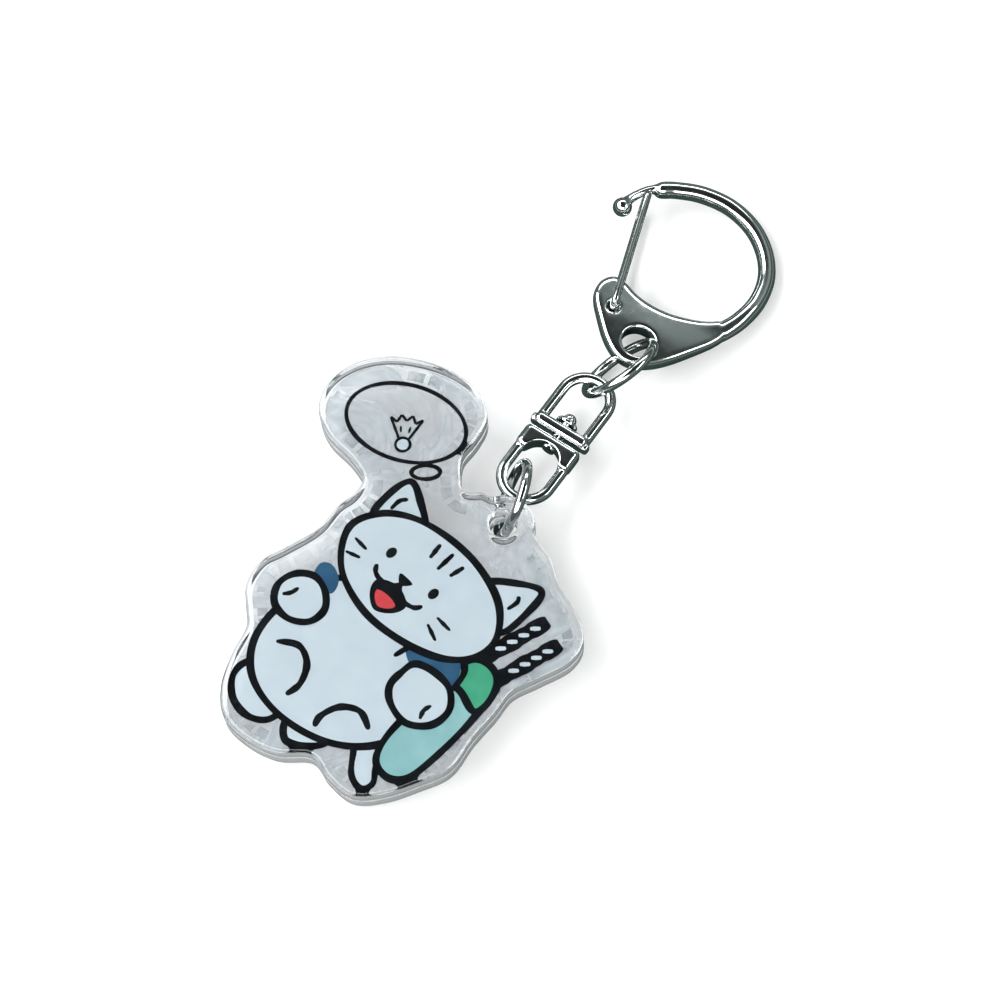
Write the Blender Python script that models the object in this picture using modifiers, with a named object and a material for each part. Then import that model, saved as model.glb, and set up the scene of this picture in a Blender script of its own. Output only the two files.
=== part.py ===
"""A keychain: a clear acrylic charm on a jump ring, a turning swivel, a second ring and a D clasp.

Metres, +Z up. It lies on a surface at z = 0, with the origin under the middle of its box. Each piece is
drawn in a frame of its own and hung on an empty that lays it on the surface:
  charm_frame   origin at the tab's hole on the front face, +Y out of the tab, +Z out of the front face
  swivel_frame  origin at the lower loop's outer end, +Y along the rivet to the clasp
  clasp_frame   origin in the eye, +Y across the D, +Z out of the plate's upper face
"""
import math

import bmesh
import bpy
from mathutils import Matrix, Vector

MM = 0.001
COLLECTION = "keychain"
CUTTERS = "cutters"

# where things lie: places in millimetres on the table, turns in degrees
TABLE_SHIFT = (-1.55, -1.12, 0.13)
CHARM_PLACE = (0.91, -6.42, 6.30)
CHARM_HEADING = 45.0
CHARM_LIFT = 3.0
SWIVEL_PLACE = (1.67, -2.32, 3.62)
SWIVEL_HEADING = 55.5
SWIVEL_DIP = -0.4
CLASP_PLACE = (16.43, 18.50, 3.12)
CLASP_HEADING = 60.0
CLASP_PITCH = -4.1
CLASP_ROLL = 5.84
TAB_RING_PLACE = (2.04, -2.70, 4.71)
TAB_RING_LEAN = 108.2
TAB_RING_TURN = -13.0
CLASP_RING_PLACE = (14.59, 14.26, 4.51)
CLASP_RING_LEAN = 55.8
CLASP_RING_TURN = 134.2

# charm
SHEET_THICKNESS = 1.85
FILM_THICKNESS = 0.10
LAYER_GAP = 0.10
SHEET_EDGE_ROUND = 0.30
FILM_INSET = 0.7
TAB_RADIUS = 3.6
TAB_HOLE_RADIUS = 1.6
HOLE_STEPS = 28
OUTLINE_STEPS = 3

# rings
RING_STEPS = 56
RING_SPLIT = 0.25
TAB_RING_RADIUS = 4.33
TAB_RING_WIRE = 0.60
TAB_RING_SPLIT = 0.0
CLASP_RING_RADIUS = 4.71
CLASP_RING_WIRE = 0.62
CLASP_RING_SPLIT = -38.0

# swivel
LOOP_HALF_WIDTH = 3.0
LOOP_WIRE = 0.68
SWIVEL_LENGTH = 19.25
LOWER_BAR = (6.2, 9.5)
LOWER_BAR_HALF_WIDTH = 3.74
LOWER_BAR_HALF_HEIGHT = 1.10
UPPER_BAR = (9.8, 11.4)
UPPER_BAR_HALF_WIDTH = 3.95
UPPER_BAR_HALF_HEIGHT = 1.20
BAR_ROUND = 0.5
ARCH_CENTRE = 5.9
ARCH_RADIUS = 2.32
RIVET_SHAFT = 0.60
RIVET_CLEARANCE = 0.08
RIVET_HEAD = 1.40
RIVET_KNOB = 0.85
RIVET_TAIL = 0.90

# clasp
PLATE_THICKNESS = 2.4
PLATE_ROUND = 0.6
EYE_CENTRE = (0.5, -0.2)
EYE_RADIUS = 1.85
ARM_RADIUS = 1.1
NECK_RADIUS = 0.56
BALL_CENTRE = (-10.05, 15.4)
BALL_RADIUS = 1.27
PIVOT = (-4.25, 2.25)
PIVOT_HOLE = 0.65
GATE_WIRE = 0.5
GATE_LEG_HEIGHT = 2.0
GATE_LENGTH = 16.0
GATE_ANGLE = 14.0
GATE_BEND = 0.7
GATE_END_HEIGHT = 0.35

# outlines in millimetres, in their own frames, anticlockwise as seen from +Z
CHARM_OUTLINE = [
    (3.2, 1.7), (2.2, 2.9), (0.0, 3.6), (-2.2, 2.9), (-3.3, 1.5),
    (-4.6, 1.0), (-6.1, -0.2), (-7.5, 0.6), (-9.2, 2.6), (-9.6, 5.2), (-10.6, 8.0),
    (-12.9, 9.5), (-16.0, 9.8), (-20.0, 8.7), (-24.2, 6.0), (-26.7, 2.4), (-27.2, -1.4), (-25.6, -4.6),
    (-22.4, -6.2), (-18.4, -6.4), (-15.6, -7.2), (-14.9, -9.2), (-15.2, -11.4), (-14.8, -15.0),
    (-15.9, -19.6), (-16.6, -22.2), (-15.7, -25.4), (-13.5, -27.5), (-11.9, -29.0), (-10.7, -32.4),
    (-8.8, -35.8), (-6.0, -38.0), (-2.2, -38.0), (1.2, -36.8), (4.2, -34.3), (7.4, -34.8), (10.8, -34.4),
    (13.2, -31.8), (15.0, -28.2), (16.3, -24.6), (15.6, -20.4), (15.3, -16.6), (14.9, -13.6),
    (16.0, -10.2), (17.1, -6.4), (16.2, -3.5), (13.0, -1.7), (10.0, -0.9), (7.2, 0.6), (5.0, 1.1),
]
PLATE_OUTLINE = [
    (9.0, 7.3), (8.45, 7.9), (7.65, 7.9), (6.9, 7.5), (5.6, 6.75), (4.1, 6.1), (1.8, 5.4), (-0.6, 5.2), (-2.7, 5.5), (-4.7, 6.2),
    (-6.2, 6.2), (-7.2, 5.0), (-7.3, 3.4), (-6.7, 2.0), (-5.2, 0.2), (-3.5, -1.6), (-1.7, -2.9),
    (0.2, -3.4), (1.9, -3.0), (3.6, -1.8), (5.2, 0.0), (7.0, 2.6), (8.3, 4.7), (8.95, 6.3),
]
ARM_LINE = [
    (8.0, 6.6), (9.3, 9.6), (9.85, 12.9), (9.3, 16.4), (7.5, 19.4), (4.6, 21.7), (1.0, 22.75),
    (-2.7, 22.4), (-5.7, 21.15), (-7.3, 20.1), (-8.0, 19.75), (-8.7, 19.05), (-9.5, 17.7), (-10.0, 16.3),
    (-10.05, 15.4),
]
ARM_THICK_POINTS = 9.34
ARM_STEPS = 3


def clear_scene():
    for thing in list(bpy.data.objects):
        bpy.data.objects.remove(thing, do_unlink=True)
    for group in list(bpy.data.collections):
        bpy.data.collections.remove(group)


def make_collection(name):
    group = bpy.data.collections.new(name)
    bpy.context.scene.collection.children.link(group)
    return group


def material(name, colour, roughness, metallic, alpha=1.0):
    made = bpy.data.materials.new(name)
    made.use_nodes = True
    shader = made.node_tree.nodes["Principled BSDF"]
    shader.inputs["Base Color"].default_value = (*colour, 1.0)
    shader.inputs["Roughness"].default_value = roughness
    shader.inputs["Metallic"].default_value = metallic
    shader.inputs["Alpha"].default_value = alpha
    made.diffuse_color = (*colour, alpha)
    return made


def acrylic():
    return material("clear_acrylic", (0.88, 0.92, 0.95), 0.05, 0.0, 0.35)


def film():
    return material("print_film", (0.72, 0.80, 0.85), 0.30, 0.0)


def plated_steel(name):
    return material(name, (0.62, 0.64, 0.65), 0.10, 1.0)


def smooth_curve(points, steps, closed):
    """Points on a Catmull-Rom curve through the given points."""
    count = len(points)
    spans = count if closed else count - 1
    line = []
    for i in range(spans):
        if closed:
            corners = [points[(i + k) % count] for k in (-1, 0, 1, 2)]
        else:
            corners = [points[min(max(i + k, 0), count - 1)] for k in (-1, 0, 1, 2)]
        a, b, c, d = (Vector(p) for p in corners)
        for step in range(steps):
            t = step / steps
            line.append(0.5 * (2 * b + (c - a) * t + (2 * a - 5 * b + 4 * c - d) * t ** 2
                               + (3 * b - a - 3 * c + d) * t ** 3))
    if not closed:
        line.append(Vector(points[-1]))
    return line


def circle(centre, radius, steps):
    turn = 2 * math.pi / steps
    return [Vector((centre[0] + radius * math.cos(i * turn), centre[1] + radius * math.sin(i * turn)))
            for i in range(steps)]


def inset(loop, distance):
    """The closed loop moved inwards; it runs anticlockwise."""
    moved = []
    for i, point in enumerate(loop):
        along = (loop[(i + 1) % len(loop)] - loop[i - 1]).normalized()
        moved.append(point + distance * Vector((-along.y, along.x)))
    return moved


def add_spline(curve, points, cyclic, radii=None):
    spline = curve.splines.new("POLY")
    spline.points.add(len(points) - 1)
    for i, point in enumerate(points):
        height = point[2] if len(point) > 2 else 0.0
        spline.points[i].co = (point[0] * MM, point[1] * MM, height * MM, 1.0)
        if radii:
            spline.points[i].radius = radii[i]
    spline.use_cyclic_u = cyclic


def curve_to_mesh(name, curve, group, parent):
    """The curve as a welded mesh object, in its parent's frame."""
    guide = bpy.data.objects.new(name + "_line", curve)
    group.objects.link(guide)
    bpy.context.view_layer.update()
    evaluated = guide.evaluated_get(bpy.context.evaluated_depsgraph_get())
    mesh = bpy.data.meshes.new_from_object(evaluated)
    mesh.name = name
    solid = bpy.data.objects.new(name, mesh)
    solid.matrix_world = guide.matrix_world
    group.objects.link(solid)
    bpy.data.objects.remove(guide, do_unlink=True)
    bpy.data.curves.remove(curve)
    work = bmesh.new()
    work.from_mesh(mesh)
    bmesh.ops.remove_doubles(work, verts=work.verts, dist=0.002 * MM)
    bmesh.ops.recalc_face_normals(work, faces=work.faces)
    work.to_mesh(mesh)
    work.free()
    solid.parent = parent
    return solid


def wire(name, points, radius, group, parent, closed=False, radii=None, resolution=3):
    curve = bpy.data.curves.new(name, "CURVE")
    curve.dimensions = "3D"
    curve.bevel_depth = radius * MM
    curve.bevel_resolution = resolution
    curve.use_fill_caps = not closed
    add_spline(curve, points, closed, radii)
    return curve_to_mesh(name, curve, group, parent)


def flat_piece(name, loops, thickness, edge_round, group, parent, middle=0.0):
    """A flat piece cut to its outlines, with rounded rims, its mid-plane at the given height."""
    curve = bpy.data.curves.new(name, "CURVE")
    curve.dimensions = "2D"
    curve.fill_mode = "BOTH"
    curve.extrude = (thickness / 2 - edge_round) * MM
    curve.bevel_depth = edge_round * MM
    curve.bevel_resolution = 1 if edge_round else 0
    for loop in loops:
        add_spline(curve, loop, True)
    solid = curve_to_mesh(name, curve, group, parent)
    solid.data.transform(Matrix.Translation((0, 0, middle * MM)))
    return solid


def finish(solid, coating):
    solid.data.materials.clear()
    solid.data.materials.append(coating)
    solid.data.shade_smooth()
    solid.data.set_sharp_from_angle(angle=math.radians(35))
    return solid


def boolean(solid, cutter, operation):
    """Union or difference that stays on the solid; the cutter is kept as a guide."""
    step = solid.modifiers.new(operation.lower(), "BOOLEAN")
    step.operation = operation
    step.solver = "EXACT"
    step.object = cutter
    cutter.display_type = "WIRE"
    cutter.hide_render = True


def cutter_cylinder(name, centre, radius, half_length, axis, group, parent, steps=32):
    mesh = bpy.data.meshes.new(name)
    work = bmesh.new()
    turn = {"Z": Matrix.Identity(3), "Y": Matrix.Rotation(math.radians(90), 3, "X")}[axis]
    bmesh.ops.create_cone(work, cap_ends=True, segments=steps, radius1=radius * MM, radius2=radius * MM,
                          depth=2 * half_length * MM, matrix=turn.to_4x4())
    bmesh.ops.translate(work, verts=work.verts, vec=Vector(centre) * MM)
    work.to_mesh(mesh)
    work.free()
    cutter = bpy.data.objects.new(name, mesh)
    group.objects.link(cutter)
    cutter.parent = parent
    return cutter


def frame(name, place, turns, group, parent):
    empty = bpy.data.objects.new(name, None)
    empty.empty_display_size = 0.004
    empty.location = Vector(place) * MM
    empty.rotation_euler = [math.radians(turn) for turn in turns]
    group.objects.link(empty)
    empty.parent = parent
    return empty


def charm_sheets(group, parent):
    outline = smooth_curve(CHARM_OUTLINE, OUTLINE_STEPS, True)
    rim = inset(outline, SHEET_EDGE_ROUND)
    hole = circle((0, 0), TAB_HOLE_RADIUS + SHEET_EDGE_ROUND, HOLE_STEPS)
    hole.reverse()
    film_rim = inset(outline, FILM_INSET)
    film_hole = circle((0, 0), TAB_HOLE_RADIUS + FILM_INSET, HOLE_STEPS)
    film_hole.reverse()
    clear = acrylic()
    front_middle = -SHEET_THICKNESS / 2
    film_middle = -SHEET_THICKNESS - LAYER_GAP - FILM_THICKNESS / 2
    back_middle = 2 * film_middle - front_middle
    front = flat_piece("front_acrylic_sheet", (rim, hole), SHEET_THICKNESS, SHEET_EDGE_ROUND, group, parent,
                       front_middle)
    finish(front, clear)
    back = flat_piece("back_acrylic_sheet", (rim, hole), SHEET_THICKNESS, SHEET_EDGE_ROUND, group, parent,
                      back_middle)
    finish(back, clear)
    print_layer = flat_piece("printed_film", (film_rim, film_hole), FILM_THICKNESS, 0.0, group, parent,
                             film_middle)
    finish(print_layer, film())


def split_ring(name, radius, wire_radius, split_at, group, parent):
    """A round wire ring with a fine sawn split, at an angle from its own +X side, which lies underneath."""
    half_split = RING_SPLIT / radius / 2
    sweep = 2 * math.pi - 2 * half_split
    line = []
    for i in range(RING_STEPS + 1):
        angle = math.radians(split_at) + half_split + sweep * i / RING_STEPS
        line.append((radius * math.cos(angle), radius * math.sin(angle), 0.0))
    return finish(wire(name, line, wire_radius, group, parent), plated_steel(name + "_plating"))


def loop_line(end, far, steps=20):
    """A U of wire in the frame's XY plane: its round end at y = end, its legs running to y = far."""
    way = 1 if far > end else -1
    centre = end + way * (LOOP_WIRE + LOOP_HALF_WIDTH)
    line = [(-LOOP_HALF_WIDTH, far, 0.0)]
    for i in range(steps + 1):
        angle = math.pi * i / steps
        line.append((-LOOP_HALF_WIDTH * math.cos(angle), centre - way * LOOP_HALF_WIDTH * math.sin(angle), 0.0))
    line.append((LOOP_HALF_WIDTH, far, 0.0))
    return line


def crossbar(name, span, half_width, half_height, group, parent):
    bar = bpy.data.objects.new(name, bpy.data.meshes.new(name))
    work = bmesh.new()
    size = Vector((2 * half_width, span[1] - span[0], 2 * half_height)) * MM
    bmesh.ops.create_cube(work, size=1.0)
    bmesh.ops.scale(work, vec=size, verts=work.verts)
    bmesh.ops.translate(work, vec=(0, (span[0] + span[1]) / 2 * MM, 0), verts=work.verts)
    bmesh.ops.bevel(work, geom=work.edges[:], offset=BAR_ROUND * MM, segments=3, profile=0.5, affect="EDGES")
    work.to_mesh(bar.data)
    work.free()
    group.objects.link(bar)
    bar.parent = parent
    return bar


def swivel(group, cutters, parent):
    shaft_hole = RIVET_SHAFT + RIVET_CLEARANCE
    bore = cutter_cylinder("rivet_bore", (0, 9.6, 0), shaft_hole, 3.0, "Y", cutters, parent, 24)
    arch = cutter_cylinder("arch_cut", (0, ARCH_CENTRE, 0), ARCH_RADIUS, 3.0, "Z", cutters, parent)
    lower = wire("swivel_lower_link", loop_line(0.0, 8.4), LOOP_WIRE, group, parent)
    lower_bar = crossbar("lower_bar", LOWER_BAR, LOWER_BAR_HALF_WIDTH, LOWER_BAR_HALF_HEIGHT, cutters, parent)
    boolean(lower, lower_bar, "UNION")
    boolean(lower, arch, "DIFFERENCE")
    boolean(lower, bore, "DIFFERENCE")
    finish(lower, plated_steel("swivel_lower_plating"))
    upper = wire("swivel_upper_link", loop_line(SWIVEL_LENGTH, 10.6), LOOP_WIRE, group, parent)
    upper_bar = crossbar("upper_bar", UPPER_BAR, UPPER_BAR_HALF_WIDTH, UPPER_BAR_HALF_HEIGHT, cutters, parent)
    boolean(upper, upper_bar, "UNION")
    boolean(upper, bore, "DIFFERENCE")
    finish(upper, plated_steel("swivel_upper_plating"))
    rivet(group, parent)


def dome(radius, low, high, steps=4):
    """A quarter-round profile from the axis at the top down to its rim."""
    line = []
    for i in range(steps + 1):
        angle = math.pi / 2 * i / steps
        line.append((radius * math.sin(angle), low + (high - low) * math.cos(angle)))
    return line


def rivet(group, parent):
    head_low = UPPER_BAR[1] + 0.1
    tail_top = ARCH_CENTRE + math.sqrt(ARCH_RADIUS ** 2 - RIVET_TAIL ** 2) - 0.1
    profile = dome(RIVET_KNOB, head_low + 0.75, head_low + 1.7)
    profile += [(radius, height) for radius, height in dome(RIVET_HEAD, head_low + 0.3, head_low + 0.85)
                if radius > RIVET_KNOB]
    profile += [(RIVET_HEAD, head_low), (RIVET_SHAFT, head_low), (RIVET_SHAFT, tail_top),
                (RIVET_TAIL, tail_top), (RIVET_TAIL, tail_top - 0.35), (0.0, tail_top - 0.35)]
    mesh = bpy.data.meshes.new("swivel_rivet")
    edges = [(i, i + 1) for i in range(len(profile) - 1)]
    mesh.from_pydata([(radius * MM, 0.0, height * MM) for radius, height in profile], edges, [])
    pin = bpy.data.objects.new("swivel_rivet", mesh)
    group.objects.link(pin)
    turn = pin.modifiers.new("turned", "SCREW")
    turn.axis = "Z"
    turn.angle = 2 * math.pi
    turn.steps = 24
    turn.render_steps = 24
    turn.use_merge_vertices = True
    turn.merge_threshold = 0.002 * MM
    pin.rotation_euler = (math.radians(-90), 0, 0)
    pin.parent = parent
    mesh.materials.append(plated_steel("rivet_plating"))
    for face in mesh.polygons:
        face.use_smooth = True


def clasp_hook(group, cutters, parent):
    outline = inset(smooth_curve(PLATE_OUTLINE, 3, True), PLATE_ROUND)
    hook = flat_piece("clasp_hook", (outline,), PLATE_THICKNESS, PLATE_ROUND, group, parent)
    line = smooth_curve(ARM_LINE, ARM_STEPS, False)
    thick = round(ARM_THICK_POINTS * ARM_STEPS)
    radii = [1.0 if i < thick else NECK_RADIUS / ARM_RADIUS for i in range(len(line))]
    arm = wire("arm", line, ARM_RADIUS, cutters, parent, radii=radii, resolution=4)
    ball = bpy.data.objects.new("ball", bpy.data.meshes.new("ball"))
    work = bmesh.new()
    bmesh.ops.create_uvsphere(work, u_segments=16, v_segments=10, radius=BALL_RADIUS * MM)
    bmesh.ops.translate(work, verts=work.verts, vec=Vector((*BALL_CENTRE, 0.0)) * MM)
    work.to_mesh(ball.data)
    work.free()
    cutters.objects.link(ball)
    ball.parent = parent
    eye = cutter_cylinder("eye_cut", (*EYE_CENTRE, 0), EYE_RADIUS, 3.0, "Z", cutters, parent)
    pin_hole = cutter_cylinder("pivot_cut", (*PIVOT, 0), PIVOT_HOLE, 3.0, "Z", cutters, parent, 20)
    boolean(hook, arm, "UNION")
    boolean(hook, ball, "UNION")
    boolean(hook, eye, "DIFFERENCE")
    boolean(hook, pin_hole, "DIFFERENCE")
    finish(hook, plated_steel("clasp_plating"))


def gate_wire(group, parent):
    """A loop of spring wire: both ends turn in the plate's hole, and the closed end lies inside the neck."""
    half = [(0.0, GATE_END_HEIGHT), (0.0, GATE_LEG_HEIGHT - GATE_BEND)]
    half += bend((GATE_BEND, GATE_LEG_HEIGHT - GATE_BEND), GATE_BEND, 180, 90)
    half += [(GATE_LENGTH * step, GATE_LEG_HEIGHT) for step in (0.3, 0.6)]
    half += bend((GATE_LENGTH - GATE_BEND, GATE_LEG_HEIGHT - GATE_BEND), GATE_BEND, 90, 0)
    line = half + [(along, -height) for along, height in reversed(half)]
    solid = wire("clasp_gate_wire", [(0.0, along, height) for along, height in line], GATE_WIRE, group,
                 parent, resolution=2)
    return finish(solid, plated_steel("gate_plating"))


def bend(centre, radius, start, end, steps=5):
    line = []
    for i in range(steps + 1):
        angle = math.radians(start + (end - start) * i / steps)
        line.append((centre[0] + radius * math.cos(angle), centre[1] + radius * math.sin(angle)))
    return line


def build():
    clear_scene()
    group = make_collection(COLLECTION)
    cutters = make_collection(CUTTERS)
    table = frame("table_frame", TABLE_SHIFT, (0, 0, 0), group, None)
    charm = frame("charm_frame", CHARM_PLACE, (CHARM_LIFT, 0, CHARM_HEADING - 90), group, table)
    charm_sheets(group, charm)
    tab_ring = frame("tab_ring_frame", TAB_RING_PLACE, (0, TAB_RING_LEAN, TAB_RING_TURN), group, table)
    split_ring("tab_jump_ring", TAB_RING_RADIUS, TAB_RING_WIRE, TAB_RING_SPLIT, group, tab_ring)
    swivel_frame = frame("swivel_frame", SWIVEL_PLACE, (SWIVEL_DIP, 0, SWIVEL_HEADING - 90), group, table)
    swivel(group, cutters, swivel_frame)
    clasp_ring = frame("clasp_ring_frame", CLASP_RING_PLACE, (0, CLASP_RING_LEAN, CLASP_RING_TURN), group,
                       table)
    split_ring("clasp_ring", CLASP_RING_RADIUS, CLASP_RING_WIRE, CLASP_RING_SPLIT, group, clasp_ring)
    clasp = frame("clasp_frame", CLASP_PLACE, (CLASP_PITCH, CLASP_ROLL, CLASP_HEADING - 90), group, table)
    clasp_hook(group, cutters, clasp)
    gate = frame("gate_frame", (*PIVOT, 0.0), (0, 0, GATE_ANGLE), group, clasp)
    gate_wire(group, gate)
    bpy.context.view_layer.update()


build()
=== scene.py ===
"""The keychain's looks: a clear laminated charm with its print, two wire rings, a swivel and a D clasp.

Pieces are drawn in millimetres in a frame of their own and laid in place in their mesh, so every object
stays at the origin. The CAD part is the fixed frame: nothing here reaches outside its box.
"""
import math

import bpy
import bmesh
from mathutils import Euler, Matrix, Vector
from mathutils.geometry import tessellate_polygon


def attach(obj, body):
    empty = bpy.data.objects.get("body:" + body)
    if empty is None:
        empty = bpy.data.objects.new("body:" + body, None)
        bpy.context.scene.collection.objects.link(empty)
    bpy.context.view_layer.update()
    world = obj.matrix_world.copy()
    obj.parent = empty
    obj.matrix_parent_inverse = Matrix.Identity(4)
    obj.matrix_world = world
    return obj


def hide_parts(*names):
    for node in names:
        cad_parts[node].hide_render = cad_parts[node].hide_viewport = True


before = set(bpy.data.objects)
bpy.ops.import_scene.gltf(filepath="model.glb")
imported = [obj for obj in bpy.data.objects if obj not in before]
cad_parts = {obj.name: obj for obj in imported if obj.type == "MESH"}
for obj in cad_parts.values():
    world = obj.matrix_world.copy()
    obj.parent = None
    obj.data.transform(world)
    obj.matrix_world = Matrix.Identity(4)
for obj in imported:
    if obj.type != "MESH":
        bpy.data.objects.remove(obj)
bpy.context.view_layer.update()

# ---------------------------------------------------------------------------------------------------
# Front sheet: the upper of two clear acrylic sheets that hold the print between them. It is cast
# acrylic, laser cut to a smooth outline 3 mm outside the picture, with its top lip flame-polished round.
# ---------------------------------------------------------------------------------------------------
MM = 0.001


def place(x, y, z, turn_x, turn_y, turn_z):
    """A piece's own frame in the keychain's frame: millimetres and degrees in, a matrix out."""
    turn = Euler([math.radians(angle) for angle in (turn_x, turn_y, turn_z)], "XYZ")
    return Matrix.Translation(Vector((x, y, z)) * MM) @ turn.to_matrix().to_4x4() @ Matrix.Scale(MM, 4)


def smooth_line(points, steps, closed):
    """Points along a smooth curve that passes through the given points."""
    count = len(points)
    spans = count if closed else count - 1
    line = []
    for i in range(spans):
        if closed:
            a, b, c, d = (Vector(points[(i + k) % count]) for k in (-1, 0, 1, 2))
        else:
            a, b, c, d = (Vector(points[min(max(i + k, 0), count - 1)]) for k in (-1, 0, 1, 2))
        for step in range(steps):
            t = step / steps
            line.append(0.5 * (2 * b + (c - a) * t + (2 * a - 5 * b + 4 * c - d) * t ** 2
                               + (3 * b - a - 3 * c + d) * t ** 3))
    if not closed:
        line.append(Vector(points[-1]))
    return line


def circle(centre, radius, steps):
    turn = 2 * math.pi / steps
    return [Vector((centre[0] + radius * math.cos(i * turn), centre[1] + radius * math.sin(i * turn)))
            for i in range(steps)]


def inset(loop, distance):
    """An anticlockwise loop moved inwards by a distance."""
    moved = []
    for i, point in enumerate(loop):
        along = (loop[(i + 1) % len(loop)] - loop[i - 1]).normalized()
        moved.append(point + distance * Vector((-along.y, along.x)))
    return moved


def settle(name, mesh, matrix, look, body, sharp=40):
    """Lays a finished mesh in place as a piece of the keychain, riding on its body."""
    mesh.name = name
    mesh.transform(matrix)
    mesh.materials.clear()
    mesh.materials.append(look)
    mesh.shade_smooth()
    mesh.set_sharp_from_angle(angle=math.radians(sharp))
    made = bpy.data.objects.new(name, mesh)
    bpy.context.scene.collection.objects.link(made)
    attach(made, body)
    return made


CHARM = place(-0.64, -7.54, 6.43, 3.0, 0, -45.0)


def charm_piece(name, points, faces, look):
    """A flat piece of the charm, from its points in millimetres and its faces."""
    mesh = bpy.data.meshes.new(name)
    mesh.from_pydata(points, [], faces)
    mesh.validate()
    return settle(name, mesh, CHARM, look, "charm", sharp=35)


def plate_mesh(outline, holes, profile, hole_share=1.0):
    """Points and faces of a flat plate. The profile lists (inset, height) from its bottom face to its top;
    the holes' rims take their share of each inset."""
    loops = [outline] + [list(reversed(hole)) for hole in holes]
    points = []
    faces = []
    for side, loop in enumerate(loops):
        count = len(loop)
        start = len(points)
        for depth, height in profile:
            ring = inset(loop, depth * (hole_share if side else 1.0))
            points += [(p.x, p.y, height) for p in ring]
        for level in range(len(profile) - 1):
            low = start + level * count
            for i in range(count):
                j = (i + 1) % count
                faces.append((low + i, low + j, low + count + j, low + count + i))
    for level, up in ((0, False), (len(profile) - 1, True)):
        rims = []
        index = []
        start = 0
        for loop in loops:
            first = start + level * len(loop)
            rims.append([Vector(points[first + i]) for i in range(len(loop))])
            index += [first + i for i in range(len(loop))]
            start += len(profile) * len(loop)
        for tri in tessellate_polygon(rims):
            a, b, c = (index[k] for k in tri)
            pa, pb, pc = (Vector(points[k]) for k in (a, b, c))
            rises = (pb - pa).cross(pc - pa).z > 0
            faces.append((a, b, c) if rises == up else (a, c, b))
    return points, faces


def lip(radius_in, radius_down, edge, way, steps=5):
    """A quarter-round lip at height edge; way is 1 for an upper lip and -1 for a lower one."""
    rim = []
    for i in range(steps + 1):
        angle = math.pi / 2 * i / steps
        rim.append((radius_in * (1 - math.cos(angle)), edge - way * radius_down * (1 - math.sin(angle))))
    rim.append((radius_in + 0.02, edge))
    return rim if way == 1 else rim[::-1]


CHARM_OUTLINE = smooth_line([
    (3.2, 1.7), (2.2, 2.9), (0.0, 3.6), (-2.2, 2.9), (-3.3, 1.5),
    (-4.6, 1.0), (-6.1, -0.2), (-7.5, 0.6), (-9.2, 2.6), (-9.6, 5.2), (-10.6, 8.0),
    (-12.9, 9.5), (-16.0, 9.8), (-20.0, 8.7), (-24.2, 6.0), (-26.7, 2.4), (-27.2, -1.4), (-25.6, -4.6),
    (-22.4, -6.2), (-18.4, -6.4), (-15.6, -7.2), (-14.9, -9.2), (-15.2, -11.4), (-14.8, -15.0),
    (-15.9, -19.6), (-16.6, -22.2), (-15.7, -25.4), (-13.5, -27.5), (-11.9, -29.0), (-10.7, -32.4),
    (-8.8, -35.8), (-6.0, -38.0), (-2.2, -38.0), (1.2, -36.8), (4.2, -34.3), (7.4, -34.8), (10.8, -34.4),
    (13.2, -31.8), (15.0, -28.2), (16.3, -24.6), (15.6, -20.4), (15.3, -16.6), (14.9, -13.6),
    (16.0, -10.2), (17.1, -6.4), (16.2, -3.5), (13.0, -1.7), (10.0, -0.9), (7.2, 0.6), (5.0, 1.1),
], 7, True)
SHEET = 1.85
TAB_HOLE = circle((0, 0), 1.6, 64)


def new_look(name):
    """A new material, and its shader."""
    look = bpy.data.materials.new(name)
    look.use_nodes = True
    return look, look.node_tree.nodes["Principled BSDF"]


def noise(look, scale, detail, stretch=None, **settings):
    """The value of a noise laid over the piece's own Object coordinates."""
    nodes = look.node_tree.nodes
    links = look.node_tree.links
    source = nodes.new("ShaderNodeTexCoord").outputs["Object"]
    if stretch:
        drawn = nodes.new("ShaderNodeMapping")
        drawn.inputs["Scale"].default_value = stretch
        links.new(source, drawn.inputs["Vector"])
        source = drawn.outputs["Vector"]
    cloud = nodes.new("ShaderNodeTexNoise")
    cloud.inputs["Scale"].default_value = scale
    cloud.inputs["Detail"].default_value = detail
    for socket, value in settings.items():
        cloud.inputs[socket].default_value = value
    links.new(source, cloud.inputs["Vector"])
    return cloud.outputs["Fac"]


def ranged(look, value, low, high, to_low, to_high):
    """A value that runs from low to high, mapped to run from to_low to to_high."""
    scaled = look.node_tree.nodes.new("ShaderNodeMapRange")
    for socket, number in (("From Min", low), ("From Max", high), ("To Min", to_low), ("To Max", to_high)):
        scaled.inputs[socket].default_value = number
    look.node_tree.links.new(value, scaled.inputs["Value"])
    return scaled.outputs["Result"]


def math_node(look, operation, *values):
    """A math node on one or two values."""
    made = look.node_tree.nodes.new("ShaderNodeMath")
    made.operation = operation
    for i, value in enumerate(values):
        look.node_tree.links.new(value, made.inputs[i])
    return made


def bumped(look, height, strength, distance, under=None):
    """The normal of a surface raised by a height in metres, over another bump if there is one."""
    links = look.node_tree.links
    made = look.node_tree.nodes.new("ShaderNodeBump")
    made.inputs["Strength"].default_value = strength
    made.inputs["Distance"].default_value = distance
    links.new(height, made.inputs["Height"])
    if under:
        links.new(under, made.inputs["Normal"])
    return made.outputs["Normal"]


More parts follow.
